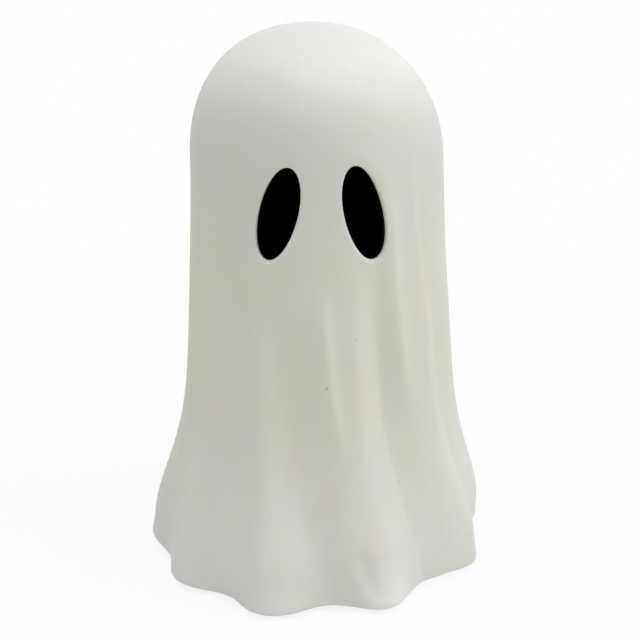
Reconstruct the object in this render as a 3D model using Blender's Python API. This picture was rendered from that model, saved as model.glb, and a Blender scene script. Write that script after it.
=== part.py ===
"""Ghost statue: a hollow cast sheet ghost on soft feet, with a small battery lamp in its open bottom.

Metres, +Z up. The origin is the middle of the footprint at the level of the surface it stands on.
The face looks along -Y, and +X is at the right of someone who looks at the face.
"""

import math

import bmesh
import bpy
from mathutils import Matrix, Vector

for old in list(bpy.data.objects):
    bpy.data.objects.remove(old, do_unlink=True)

# Clearances shared by all pieces
GAP = 0.0003
OVERRUN = 0.0020

# Cast sheet
GHOST_HEIGHT = 0.2800
HEAD_RADIUS = 0.0640
SHOULDER_HEIGHT = 0.2120
HEM_RADIUS = 0.0884
FLARE_TOP = 0.1250
FLARE_FOOT = 0.0150
WALL = 0.0040
LIP_RADIUS = 0.0016
KICK = 0.0022
KICK_HEIGHT = 0.0090
FLOOR_THICKNESS = 0.0080
HEAD_LEAN = 0.0018
HEM_SHIFT = 0.0006
LEAN_START = 0.1200
FOLD_DEPTH = 0.0085
FOLD_MIDDLE = 0.0800
FOLD_BEND_TOP = 0.1500
PLEAT_HEIGHT = 0.0014

# Eyes pierced through the sheet
EYE_WIDTH = 0.0197
EYE_TALL = 0.0475
LEFT_EYE_HEIGHT = 0.1997
RIGHT_EYE_HEIGHT = 0.2001

# Round opening in the bottom and the lamp base that closes it
OPENING_RADIUS = 0.0500
REBATE_RADIUS = 0.0620
PLATE_THICKNESS = 0.0030
RIM_HEIGHT = 0.0040
BASE_WALL = 0.0020
BASE_SCREW_CIRCLE = 0.0560

# Feet
PAD_RADIUS = 0.0070
PAD_THICKNESS = 0.0015
PAD_MARGIN = 0.0154

# Screws
SCREW_RADIUS = 0.0015
SCREW_HEAD_RADIUS = 0.0027
SCREW_HEAD_HEIGHT = 0.0015
BASE_SCREW_LENGTH = 0.0055
BOARD_SCREW_LENGTH = 0.0040
RECESS_WIDTH = 0.0006

# Battery cells, springs and contact plates
CELL_RADIUS = 0.00525
CELL_BODY_LENGTH = 0.0435
CELL_NUB_RADIUS = 0.0019
CELL_NUB_LENGTH = 0.0010
SPRING_LENGTH = 0.0050
SPRING_WIRE_RADIUS = 0.00025
SPRING_WIDE_RADIUS = 0.0036
SPRING_NARROW_RADIUS = 0.0026
CONTACT_THICKNESS = 0.0004
CONTACT_WIDTH = 0.0080

# Battery door
DOOR_THICKNESS = 0.0020
DOOR_LEDGE = 0.0010
DOOR_SWING_ROOM = 0.0010
HINGE_RADIUS = 0.0016
HINGE_PIN_RADIUS = 0.0008
HINGE_PIN_LENGTH = 0.0015
KNUCKLE_LENGTH = 0.0080
KNUCKLE_OFFSET = 0.0130
HINGE_ROOM = 0.0028
TAB_WIDTH = 0.0080
TAB_REACH = 0.0032
TAB_THICKNESS = 0.0015
NOTCH_RADIUS = 0.0070
NOTCH_DEPTH = 0.0021

# Switch
SWITCH_OFFSET = 0.0370
SWITCH_TRAVEL = 0.0030
SWITCH_LENGTH = 0.0140
SWITCH_WIDTH = 0.0066
SWITCH_TALL = 0.0050
SWITCH_WALL = 0.0012
KNOB_LENGTH = 0.0060
KNOB_WIDTH = 0.0060
KNOB_TALL = 0.0016
STEM_LENGTH = 0.0024
STEM_WIDTH = 0.0020
RECESS_DEPTH = 0.0022
RECESS_FLOOR = 0.0020
RECESS_MARGIN = 0.0035

# Lamp post, board, lights and diffuser
COLLAR_RADIUS = 0.0115
COLLAR_HEIGHT = 0.0030
POST_FOOT_RADIUS = 0.0150
POST_TOP_RADIUS = 0.0140
POST_HEIGHT = 0.0320
POST_TOP_THICKNESS = 0.0045
POST_LEDGE = 0.0022
POST_LEDGE_DROP = 0.0060
POST_LEDGE_THICKNESS = 0.0020
POST_BORE_RADIUS = 0.0060
WIRE_SLOT_WIDTH = 0.0090
WIRE_SLOT_HEIGHT = 0.0080
BOARD_RADIUS = 0.0125
BOARD_THICKNESS = 0.0016
BOARD_SCREW_OFFSET = 0.0095
LIGHT_RADIUS = 0.0025
LIGHT_BODY_HEIGHT = 0.0040
LIGHT_CIRCLE = 0.0055
DIFFUSER_WALL = 0.0012
DIFFUSER_SIDE = 0.0160

# Leads
LEAD_RADIUS = 0.0006
LEAD_HOLE_RADIUS = 0.0010

# Counts
COLUMNS_PER_FOLD = 6
INNER_COLUMNS_PER_FOLD = 2
BODY_ROWS = 18
DOME_ROWS = 9
INNER_BODY_ROWS = 9
INNER_DOME_ROWS = 5
LIP_ROWS = 2
ROUND_SIDES = 48
SMALL_SIDES = 16
CELL_COUNT = 3
SPRING_TURNS = 4
SPRING_STEPS = 8

# Shape of the sheet as pure numbers
DOME_POWER = 2.08
FRONT_FULLNESS = 0.5
LEFT_FULLNESS = 0.2
DRAPE_SHARE = 0.33
SHOULDER_EASE = 0.05
FLARE_BEND = 1.75
FOLD_FLARE = 1.7
LEAN_BEND = 1.3
ROW_SPREAD = 1.35

# Each line runs down a fold: azimuth in degrees at the hem, half way up and at the top, counted from the
# front towards +X; its push at the hem and half way up as shares of FOLD_DEPTH; how far up it reaches as a
# share of GHOST_HEIGHT; and how sharp it is on its left and on its right, from 0 for round to 1 for a crease.
FOLD_LINE_SHARES = (
    (-90, -80, -76, 0.22, 0.26, 0.80, 0, 0),
    (-69, -63, -58, -0.33, -0.22, 0.80, 0.05, 0.05),
    (-52, -46, -47, 0.42, 0.18, 0.78, 0, 0),
    (-33, -36, -38, -0.26, -0.02, 0.66, 0, 0),
    (-16.5, -24, -28, 0.72, 0.28, 0.64, 0, 0),
    (5, -9, -17, -0.68, -0.30, 0.62, 0, 0),
    (22, 16.5, 14, 0.25, 0.30, 0.64, 0, 0),
    (43.5, 31.5, 25.5, -1.05, -0.64, 0.70, 0.1, 0.3),
    (66, 54, 47, 0.10, 0.52, 0.72, 0.2, 0.15),
    (88, 69, 60, -0.95, -0.30, 0.66, 0.4, 0.4),
    (106, 90, 80, 0.14, 0.30, 0.66, 0, 0),
    (127, 118, 112, -0.65, -0.22, 0.64, 0.4, 0.4),
    (147, 142, 138, 0.35, 0.14, 0.64, 0, 0),
    (167, 163, 160, -0.71, -0.18, 0.64, 0.5, 0.5),
    (186, 184, 184, 0.59, 0.16, 0.64, 0, 0),
    (206, 205, 206, -0.65, -0.16, 0.66, 0.5, 0.5),
    (226, 228, 230, 0.35, 0.12, 0.66, 0, 0),
    (247, 254, 256, -0.53, -0.14, 0.70, 0.5, 0.5),
)

# Short pleats that fade at both ends: azimuth at the top and the foot, height of the top and the foot
# as a share of GHOST_HEIGHT, push as a share of PLEAT_HEIGHT, and half width in degrees.
PLEAT_SHARES = (
    (0.2, 9.5, 0.62, 0.26, 1.3, 4.0),
    (32.0, 42.0, 0.81, 0.30, 1.7, 4.8),
    (43.0, 64.0, 0.87, 0.25, 0.8, 4.2),
    (-25.5, -17.0, 0.61, 0.07, 0.4, 5.0),
    (-39.0, -44.5, 0.61, 0.24, 0.5, 4.0),
    (-34.5, -33.0, 0.18, -0.02, 0.3, 2.6),
    (8.5, 14.0, 0.115, 0.00, 0.45, 3.0),
    (13.0, 20.0, 0.145, 0.02, -0.75, 2.8),
    (42.5, 59.0, 0.165, -0.04, -0.5, 4.5),
)

# Azimuth of each eye, and how far its top leans towards +X, in degrees, and its height
EYES = (("left", -17.2, 14.7, LEFT_EYE_HEIGHT), ("right", 20.4, -12.9, RIGHT_EYE_HEIGHT))

PAD_AZIMUTHS = (-50, 63, 147, 226)
BASE_SCREW_AZIMUTHS = (60, 180, 300)
LIGHT_AZIMUTHS = (30, 150, 270)

# Levels and lengths that follow from the sizes above
PAD_CIRCLE = HEM_RADIUS - PAD_MARGIN
HEM_LEVEL = PAD_THICKNESS + GAP
FLOOR_TOP = HEM_LEVEL + FLOOR_THICKNESS
DOME_HEIGHT = GHOST_HEIGHT - SHOULDER_HEIGHT
PLATE_BOTTOM = HEM_LEVEL + GAP
PLATE_TOP = PLATE_BOTTOM + PLATE_THICKNESS
REBATE_TOP = PLATE_TOP + GAP
PLATE_RADIUS = REBATE_RADIUS - 2 * GAP

DOOR_TOP = PLATE_BOTTOM + DOOR_THICKNESS
CELL_LEVEL = DOOR_TOP + GAP + CELL_RADIUS
CELL_PITCH = 2 * (CELL_RADIUS + 2 * GAP)
CELL_LENGTH = CELL_BODY_LENGTH + CELL_NUB_LENGTH
BAY_HALF_LENGTH = (CELL_LENGTH + SPRING_LENGTH + CONTACT_THICKNESS + 4 * GAP) / 2
BAY_HALF_WIDTH = (CELL_COUNT * CELL_PITCH) / 2
BAY_TOP = CELL_LEVEL + CELL_RADIUS + GAP
BAY_ROOF = BAY_TOP + BASE_WALL
DOOR_HALF_LENGTH = BAY_HALF_LENGTH + DOOR_LEDGE
DOOR_HALF_WIDTH = BAY_HALF_WIDTH + DOOR_LEDGE
HINGE_Y = DOOR_HALF_WIDTH + GAP + HINGE_RADIUS
HINGE_Z = PLATE_BOTTOM + HINGE_RADIUS
HINGE_HALF_LENGTH = KNUCKLE_OFFSET + KNUCKLE_LENGTH / 2

RECESS_TOP = PLATE_BOTTOM + RECESS_DEPTH
SWITCH_SEAT = RECESS_TOP + RECESS_FLOOR
SWITCH_BOTTOM = SWITCH_SEAT + GAP
SWITCH_TOP = SWITCH_BOTTOM + SWITCH_TALL
KNOB_TOP = RECESS_TOP - GAP
KNOB_REST = -SWITCH_TRAVEL / 2

POST_BOTTOM = BAY_ROOF + GAP
POST_TOP = POST_BOTTOM + POST_HEIGHT
POST_INNER_RADIUS = COLLAR_RADIUS + GAP
LEDGE_TOP = POST_TOP - POST_LEDGE_DROP
BOARD_BOTTOM = POST_TOP + GAP
BOARD_TOP = BOARD_BOTTOM + BOARD_THICKNESS
DIFFUSER_BOTTOM = LEDGE_TOP + GAP
DIFFUSER_INNER_RADIUS = POST_TOP_RADIUS + GAP
DIFFUSER_RADIUS = DIFFUSER_INNER_RADIUS + DIFFUSER_WALL


# Shape of the sheet


def smooth(share):
    """Ease from 0 to 1."""
    share = min(max(share, 0.0), 1.0)
    return share * share * (3 - 2 * share)


def plain_radius(azimuth, height, inset=0.0):
    """Radius of the sheet without its folds; inset moves it inwards, for the inner face of the wall."""
    head = HEAD_RADIUS - inset
    if height > SHOULDER_HEIGHT:
        turn = math.radians(azimuth)
        power = DOME_POWER + FRONT_FULLNESS * max(math.cos(turn), 0.0) ** 2
        power += LEFT_FULLNESS * max(-math.sin(turn), 0.0) ** 2
        rise = min((height - SHOULDER_HEIGHT) / (DOME_HEIGHT - inset), 1.0)
        return head * (1 - rise**power) ** (1 / power)
    drape = 1 - height / SHOULDER_HEIGHT
    drape = drape * drape / (drape + SHOULDER_EASE) * (1 + SHOULDER_EASE)
    fall = min(max((FLARE_TOP - height) / (FLARE_TOP - FLARE_FOOT), 0.0), 1.0)
    spread = DRAPE_SHARE * drape + (1 - DRAPE_SHARE) * smooth(fall**FLARE_BEND)
    return head + (HEM_RADIUS - HEAD_RADIUS) * spread


def line_azimuth(line, height):
    """Azimuth of a fold line at a height, on a curve through its three stations."""
    hem, middle, top = line[:3]
    height = min(height, FOLD_BEND_TOP)
    low = hem * (height - FOLD_MIDDLE) * (height - FOLD_BEND_TOP) / (FOLD_MIDDLE * FOLD_BEND_TOP)
    mid = middle * height * (height - FOLD_BEND_TOP) / (FOLD_MIDDLE * (FOLD_MIDDLE - FOLD_BEND_TOP))
    high = top * height * (height - FOLD_MIDDLE) / (FOLD_BEND_TOP * (FOLD_BEND_TOP - FOLD_MIDDLE))
    return low + mid + high


def line_push(line, height):
    """How far the sheet stands out, or in, along a fold line at a height."""
    hem, middle, reach = line[3:6]
    if height > FOLD_MIDDLE:
        fade = reach * GHOST_HEIGHT
        share = middle * smooth((fade - height) / (fade - FOLD_MIDDLE))
    else:
        share = middle + (hem - middle) * (1 - height / FOLD_MIDDLE) ** FOLD_FLARE
    return FOLD_DEPTH * share


def fold_push(azimuth, height):
    """Push of the folds between the two lines beside an azimuth, with the lobes' small kick at the hem."""
    count = len(FOLD_LINE_SHARES)
    push = 0.0
    for index, line in enumerate(FOLD_LINE_SHARES):
        following = FOLD_LINE_SHARES[(index + 1) % count]
        start = line_azimuth(line, height)
        span = (line_azimuth(following, height) - start) % 360
        along = (azimuth - start) % 360 / span
        if along <= 1:
            leaving, arriving = line[7], following[6]
            quarter = math.pi / 2 * along
            share = leaving * math.sin(quarter) + arriving * (1 - math.cos(quarter))
            share += (1 - leaving - arriving) * smooth(along)
            here = line_push(line, height)
            push = here + (line_push(following, height) - here) * share
            break
    kick = math.exp(-(((height - HEM_LEVEL) / KICK_HEIGHT) ** 2)) * smooth(0.5 + push / FOLD_DEPTH)
    return push + KICK * kick


def pleat_push(azimuth, height):
    """Push of the short pleats."""
    push = 0.0
    for top, foot, top_share, foot_share, strength, half_width in PLEAT_SHARES:
        run = (top_share * GHOST_HEIGHT - height) / ((top_share - foot_share) * GHOST_HEIGHT)
        run = min(max(run, 0.0), 1.0)
        middle = top + (foot - top) * run
        offset = (azimuth - middle + 180) % 360 - 180
        push += PLEAT_HEIGHT * strength * math.sin(math.pi * run) * math.exp(-((offset / half_width) ** 2))
    return push


def outer_radius(azimuth, height):
    """Radius of the outer face, with the hem's rounded lip."""
    above = max(height, HEM_LEVEL)
    radius = plain_radius(azimuth, above) + fold_push(azimuth, above) + pleat_push(azimuth, above)
    drop = min(max((HEM_LEVEL + LIP_RADIUS - height) / LIP_RADIUS, 0.0), 1.0)
    return radius - LIP_RADIUS * (1 - math.sqrt(1 - drop * drop))


def inner_radius(azimuth, height):
    """Radius of the inner face, which follows the long folds."""
    if height > SHOULDER_HEIGHT:
        return plain_radius(azimuth, height, WALL)
    return plain_radius(azimuth, height) - WALL + fold_push(azimuth, height)


def axis_shift(height):
    """How far the sheet's axis stands from the origin towards +X: the head leans a little to -X."""
    rise = min(max((height - LEAN_START) / (GHOST_HEIGHT - LEAN_START), 0.0), 1.0)
    return HEM_SHIFT - (HEAD_LEAN + HEM_SHIFT) * rise**LEAN_BEND


def column_azimuths(height, per_fold):
    """Azimuths of the mesh columns, which run down along the folds."""
    azimuths = []
    for index, line in enumerate(FOLD_LINE_SHARES):
        following = FOLD_LINE_SHARES[(index + 1) % len(FOLD_LINE_SHARES)]
        start = line_azimuth(line, height)
        span = (line_azimuth(following, height) - start) % 360
        azimuths += [start + span * step / per_fold for step in range(per_fold)]
    return azimuths


def around(azimuth, radius, height, centre_x=0.0):
    """Point at an azimuth in degrees from the front (-Y) towards +X."""
    turn = math.radians(azimuth)
    return Vector((centre_x + radius * math.sin(turn), -radius * math.cos(turn), height))


# Building blocks


def material(name, colour, roughness, metallic=0.0):
    """A Principled material."""
    made = bpy.data.materials.new(name)
    made.use_nodes = True
    shader = made.node_tree.nodes["Principled BSDF"]
    shader.inputs["Base Color"].default_value = (*colour, 1.0)
    shader.inputs["Roughness"].default_value = roughness
    shader.inputs["Metallic"].default_value = metallic
    return made


def add_object(name, bm, finish=None, sharp_degrees=40):
    """Turn a bmesh into an object whose faces point out."""
    bmesh.ops.recalc_face_normals(bm, faces=bm.faces)
    mesh = bpy.data.meshes.new(name)
    bm.to_mesh(mesh)
    bm.free()
    mesh.shade_smooth()
    mesh.set_sharp_from_angle(angle=math.radians(sharp_degrees))
    made = bpy.data.objects.new(name, mesh)
    bpy.context.scene.collection.objects.link(made)
    if finish:
        mesh.materials.append(finish)
    return made


def guide(made):
    """Mark an object as a cutter or a building block that isn't a piece of the statue."""
    made.hide_render = True
    made.display_type = "WIRE"
    return made


def combine(target, other, operation):
    """Add an exact Boolean."""
    modifier = target.modifiers.new(other.name, "BOOLEAN")
    modifier.operation = operation
    modifier.object = guide(other)
    modifier.solver = "EXACT"


def cut(target, *others):
    for other in others:
        combine(target, other, "DIFFERENCE")


def join(target, *others):
    for other in others:
        combine(target, other, "UNION")


def box(name, low, high, finish=None):
    """A box between two corners."""
    bm = bmesh.new()
    low, high = Vector(low), Vector(high)
    place = Matrix.Translation((low + high) / 2) @ Matrix.Diagonal((*(high - low), 1.0))
    bmesh.ops.create_cube(bm, size=1.0, matrix=place)
    return add_object(name, bm, finish)


def turned(name, outline, sides, finish=None, closed=False):
    """Spin an outline of (radius, height) points about Z; a point at radius 0 is a tip."""
    bm = bmesh.new()
    rings = []
    for radius, height in outline:
        if radius == 0:
            rings.append([bm.verts.new((0, 0, height))])
        else:
            rings.append([bm.verts.new(around(360 * side / sides, radius, height)) for side in range(sides)])
    pairs = list(zip(rings, rings[1:]))
    if closed:
        pairs.append((rings[-1], rings[0]))
    for lower, upper in pairs:
        bridge(bm, lower, upper)
    return add_object(name, bm, finish)


def rod(name, radius, low, high, sides=SMALL_SIDES, finish=None):
    """A plain cylinder along Z between two heights, about the origin."""
    bm = bmesh.new()
    bmesh.ops.create_cone(
        bm,
        cap_ends=True,
        segments=sides,
        radius1=radius,
        radius2=radius,
        depth=high - low,
        matrix=Matrix.Translation((0, 0, (low + high) / 2)),
    )
    return add_object(name, bm, finish)


def turn_to_x(made):
    """Lay an object built along Z down along +X."""
    made.data.transform(Matrix.Rotation(math.pi / 2, 4, "Y"))
    return made


def moved(made, x, y, z=0.0):
    """Place an object by its location."""
    made.location = (x, y, z)
    return made


def bridge(bm, lower, upper):
    """Join two closed rings of any counts, or a ring and a tip, with a band of faces."""
    if len(lower) == len(upper):
        for index in range(len(lower)):
            following = (index + 1) % len(lower)
            bm.faces.new((lower[index], lower[following], upper[following], upper[index]))
        return
    low_step = high_step = 0
    while low_step < len(lower) or high_step < len(upper):
        low_vert = lower[low_step % len(lower)]
        high_vert = upper[high_step % len(upper)]
        low_next = (low_step + 1) / len(lower)
        high_next = (high_step + 1) / len(upper)
        if high_step == len(upper) or (low_step < len(lower) and low_next <= high_next):
            low_step += 1
            if len(lower) > 1:
                bm.faces.new((low_vert, lower[low_step % len(lower)], high_vert))
        else:
            high_step += 1
            if len(upper) > 1:
                bm.faces.new((low_vert, upper[high_step % len(upper)], high_vert))


def tube(name, points, radius, finish, resolution=2):
    """A round tube along points, closed at both ends."""
    curve = bpy.data.curves.new(name, "CURVE")
    curve.dimensions = "3D"
    curve.bevel_depth = radius
    curve.bevel_resolution = resolution
    curve.use_fill_caps = True
    spline = curve.splines.new("POLY")
    spline.points.add(len(points) - 1)
    for point, place in zip(spline.points, points):
        point.co = (*place, 1.0)
    made = bpy.data.objects.new(name, curve)
    bpy.context.scene.collection.objects.link(made)
    curve.materials.append(finish)
    return made


def flowing(route, step):
    """Points at an even step along a smooth curve through a route."""
    route = [Vector(point) for point in route]
    ends = [2 * route[0] - route[1], *route, 2 * route[-1] - route[-2]]
    fine = [route[0]]
    pieces_per_span = 24
    for before, start, end, after in zip(ends, ends[1:], ends[2:], ends[3:]):
        for piece in range(1, pieces_per_span + 1):
            t = piece / pieces_per_span
            pull = (end - before) * t + (2 * before - 5 * start + 4 * end - after) * t**2
            bend = (3 * start - before - 3 * end + after) * t**3
            fine.append(start + (pull + bend) / 2)
    length = sum((b - a).length for a, b in zip(fine, fine[1:]))
    count = max(2, round(length / step))
    spaced = [fine[0]]
    walked = 0.0
    for a, b in zip(fine, fine[1:]):
        walked += (b - a).length
        if walked >= length * len(spaced) / count and len(spaced) < count:
            spaced.append(b)
    return [*spaced, fine[-1]]


# Materials

cast_white = material("cast_white", (0.80, 0.79, 0.74), 0.85)
base_plastic = material("base_plastic", (0.55, 0.54, 0.51), 0.55)
door_plastic = material("door_plastic", (0.56, 0.55, 0.52), 0.55)
post_plastic = material("post_plastic", (0.70, 0.70, 0.68), 0.5)
switch_black = material("switch_black", (0.03, 0.03, 0.03), 0.5)
knob_black = material("knob_black", (0.05, 0.05, 0.05), 0.45)
pad_rubber = material("pad_rubber", (0.10, 0.10, 0.10), 0.9)
cell_jacket = material("cell_jacket", (0.12, 0.13, 0.15), 0.35)
bright_steel = material("bright_steel", (0.60, 0.60, 0.60), 0.3, 1.0)
screw_steel = material("screw_steel", (0.45, 0.45, 0.46), 0.35, 1.0)
board_white = material("board_white", (0.75, 0.76, 0.74), 0.4)
light_clear = material("light_clear", (0.90, 0.85, 0.55), 0.1)
diffuser_frost = material("diffuser_frost", (0.90, 0.90, 0.88), 0.6)
lead_red = material("lead_red", (0.55, 0.03, 0.03), 0.4)
lead_black = material("lead_black", (0.03, 0.03, 0.03), 0.4)


# Cast sheet: outer face, rounded lip, flat floor with a stepped round opening, inner face


def sheet_ring(bm, height, per_fold, radius_at):
    """One ring of the sheet, with its columns on the folds."""
    shift = axis_shift(height)
    return [
        bm.verts.new(around(azimuth, radius_at(azimuth, height), height, shift))
        for azimuth in column_azimuths(height, per_fold)
    ]


def round_ring(bm, radius, height):
    """One round ring about the origin, begun at the azimuth where the sheet's rings begin."""
    first = FOLD_LINE_SHARES[0][0]
    return [
        bm.verts.new(around(first + 360 * side / ROUND_SIDES, radius, height)) for side in range(ROUND_SIDES)
    ]


def lip_heights():
    quarter = math.pi / 2
    return [HEM_LEVEL + LIP_RADIUS * (1 - math.cos(quarter * row / LIP_ROWS)) for row in range(LIP_ROWS)]


def body_heights(start, rows):
    """Heights from a start to the shoulder, closer together near the hem."""
    return [start + (SHOULDER_HEIGHT - start) * (row / rows) ** ROW_SPREAD for row in range(rows)]


def dome_heights(inset, rows):
    """Heights over the dome at even turns of its rounded outline."""
    tall = DOME_HEIGHT - inset
    rises = [math.sin(math.pi / 2 * row / rows) ** (2 / DOME_POWER) for row in range(rows)]
    return [SHOULDER_HEIGHT + tall * rise for rise in rises]


def make_ghost_shell():
    bm = bmesh.new()
    heights = lip_heights() + body_heights(HEM_LEVEL + LIP_RADIUS, BODY_ROWS) + dome_heights(0.0, DOME_ROWS)
    outer = [sheet_ring(bm, height, COLUMNS_PER_FOLD, outer_radius) for height in heights]
    inner_heights = body_heights(FLOOR_TOP, INNER_BODY_ROWS) + dome_heights(WALL, INNER_DOME_ROWS)
    inner = [sheet_ring(bm, height, INNER_COLUMNS_PER_FOLD, inner_radius) for height in inner_heights]
    top = bm.verts.new((axis_shift(GHOST_HEIGHT), 0, GHOST_HEIGHT))
    inner_top = bm.verts.new((axis_shift(GHOST_HEIGHT - WALL), 0, GHOST_HEIGHT - WALL))
    opening = [
        round_ring(bm, REBATE_RADIUS, HEM_LEVEL),
        round_ring(bm, REBATE_RADIUS, REBATE_TOP),
        round_ring(bm, OPENING_RADIUS, REBATE_TOP),
        round_ring(bm, OPENING_RADIUS, FLOOR_TOP),
    ]
    rings = [[top], *reversed(outer), *opening, *inner, [inner_top]]
    for one, other in zip(rings, rings[1:]):
        bridge(bm, one, other)
    shell = add_object("ghost_shell", bm, cast_white, sharp_degrees=50)
    for side, azimuth, lean, height in EYES:
        cut(shell, make_eye_cutter(side, azimuth, lean, height))
    hole_ends = (REBATE_TOP - OVERRUN, FLOOR_TOP + OVERRUN)
    for number, azimuth in enumerate(BASE_SCREW_AZIMUTHS, 1):
        place = around(azimuth, BASE_SCREW_CIRCLE, 0)
        hole = rod(f"shell_screw_hole_{number}", SCREW_RADIUS + GAP, *hole_ends)
        cut(shell, moved(hole, place.x, place.y))


def make_eye_cutter(side, azimuth, lean, height):
    """An oval prism square to the wall at the eye's middle, with its long axis leaning."""
    middle = plain_radius(azimuth, height)
    reach = 2 * WALL + 2 * OVERRUN
    cutter = rod(f"eye_cutter_{side}", 1.0, -reach, reach, sides=2 * SMALL_SIDES)
    oval = Matrix.Diagonal((EYE_WIDTH / 2, EYE_TALL / 2, 1.0, 1.0))
    upright = Matrix.Rotation(math.pi / 2, 4, "X")
    tilt = Matrix.Rotation(math.radians(lean), 4, "Y")
    swing = Matrix.Rotation(math.radians(azimuth), 4, "Z")
    place = Matrix.Translation(around(azimuth, middle, height, axis_shift(height)))
    cutter.data.transform(place @ swing @ tilt @ upright @ oval)
    return cutter


# Feet


def make_foot_pads():
    for number, azimuth in enumerate(PAD_AZIMUTHS, 1):
        place = around(azimuth, PAD_CIRCLE, 0)
        pad = rod(f"foot_pad_{number}", PAD_RADIUS, 0, PAD_THICKNESS, 2 * SMALL_SIDES, pad_rubber)
        moved(pad, place.x, place.y)


# Lamp base: a round plate with a battery bay above it and recesses for the door and the switch


def make_lamp_base():
    base = rod("lamp_base", PLATE_RADIUS, PLATE_BOTTOM, PLATE_TOP, ROUND_SIDES, base_plastic)
    sunk = PLATE_TOP - PLATE_THICKNESS / 2
    rim_radius = OPENING_RADIUS - 2 * GAP
    rim = (
        (rim_radius, sunk),
        (rim_radius, PLATE_TOP + RIM_HEIGHT),
        (rim_radius - BASE_WALL, PLATE_TOP + RIM_HEIGHT),
        (rim_radius - BASE_WALL, sunk),
    )
    collar = (
        (COLLAR_RADIUS, BAY_TOP + BASE_WALL / 2),
        (COLLAR_RADIUS, BAY_ROOF + COLLAR_HEIGHT),
        (COLLAR_RADIUS - BASE_WALL, BAY_ROOF + COLLAR_HEIGHT),
        (COLLAR_RADIUS - BASE_WALL, BAY_TOP + BASE_WALL / 2),
    )
    bay_x = BAY_HALF_LENGTH + BASE_WALL
    bay_y = BAY_HALF_WIDTH + BASE_WALL
    hood_x = HINGE_HALF_LENGTH + HINGE_PIN_LENGTH + 2 * GAP + BASE_WALL
    hood_y = HINGE_Y + HINGE_ROOM + BASE_WALL
    hood_top = HINGE_Z + HINGE_RADIUS + 2 * GAP + BASE_WALL
    recess_x = (KNOB_LENGTH + SWITCH_TRAVEL) / 2 + RECESS_MARGIN
    recess_y = KNOB_WIDTH / 2 + RECESS_MARGIN / 2
    join(
        base,
        box("bay_block", (-bay_x, -bay_y, sunk), (bay_x, bay_y, BAY_ROOF)),
        box("hinge_hood", (-hood_x, BAY_HALF_WIDTH, sunk), (hood_x, hood_y, hood_top)),
        box(
            "switch_seat",
            (-recess_x - BASE_WALL, -SWITCH_OFFSET - recess_y - BASE_WALL, sunk),
            (recess_x + BASE_WALL, -SWITCH_OFFSET + recess_y + BASE_WALL, SWITCH_SEAT),
        ),
        turned("locating_rim", rim, ROUND_SIDES, closed=True),
        turned("post_collar", collar, ROUND_SIDES // 2, closed=True),
    )
    below = PLATE_BOTTOM - OVERRUN
    slot_x = (STEM_LENGTH + SWITCH_TRAVEL) / 2 + GAP
    slot_y = STEM_WIDTH / 2 + GAP
    cut(
        base,
        box(
            "bay_cavity",
            (-BAY_HALF_LENGTH, -BAY_HALF_WIDTH, below),
            (BAY_HALF_LENGTH, BAY_HALF_WIDTH, BAY_TOP),
        ),
        box(
            "door_opening",
            (-DOOR_HALF_LENGTH - GAP, -DOOR_HALF_WIDTH - GAP, below),
            (DOOR_HALF_LENGTH + GAP, DOOR_HALF_WIDTH + GAP + DOOR_SWING_ROOM, DOOR_TOP + GAP),
        ),
        box(
            "hinge_pocket",
            (-HINGE_HALF_LENGTH - GAP, DOOR_HALF_WIDTH - GAP, below),
            (HINGE_HALF_LENGTH + GAP, HINGE_Y + HINGE_ROOM, HINGE_Z + HINGE_RADIUS + 2 * GAP),
        ),
        box(
            "switch_recess",
            (-recess_x, -SWITCH_OFFSET - recess_y, below),
            (recess_x, -SWITCH_OFFSET + recess_y, RECESS_TOP),
        ),
        box(
            "stem_slot",
            (-slot_x, -SWITCH_OFFSET - slot_y, below),
            (slot_x, -SWITCH_OFFSET + slot_y, SWITCH_SEAT + OVERRUN),
        ),
        moved(rod("finger_notch", NOTCH_RADIUS, below, PLATE_BOTTOM + NOTCH_DEPTH), 0, -DOOR_HALF_WIDTH),
    )
    pin_hole_end = HINGE_HALF_LENGTH + HINGE_PIN_LENGTH + GAP
    pin_holes = turn_to_x(rod("hinge_pin_holes", HINGE_PIN_RADIUS + GAP, -pin_hole_end, pin_hole_end))
    cut(base, moved(pin_holes, 0, HINGE_Y, HINGE_Z))
    seat_top = PLATE_BOTTOM + SCREW_HEAD_HEIGHT + GAP
    for number, azimuth in enumerate(BASE_SCREW_AZIMUTHS, 1):
        place = around(azimuth, BASE_SCREW_CIRCLE, 0)
        through = rod(f"base_screw_hole_{number}", SCREW_RADIUS + GAP, below, PLATE_TOP + OVERRUN)
        seat = rod(f"base_screw_seat_{number}", SCREW_HEAD_RADIUS + GAP, below, seat_top)
        cut(base, moved(through, place.x, place.y), moved(seat, place.x, place.y))
    wall_middle = BAY_HALF_LENGTH + BASE_WALL / 2
    reach = BASE_WALL / 2 + OVERRUN
    for name, side, row in (("plus", 1, -1), ("minus", -1, 1)):
        hole = turn_to_x(rod(f"lead_hole_{name}", LEAD_HOLE_RADIUS, -reach, reach))
        cut(base, moved(hole, side * wall_middle, row * CELL_PITCH, CELL_LEVEL))


# Battery door: a flat lid with two knuckles and short pins on one long side and a finger tab on the other


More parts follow.
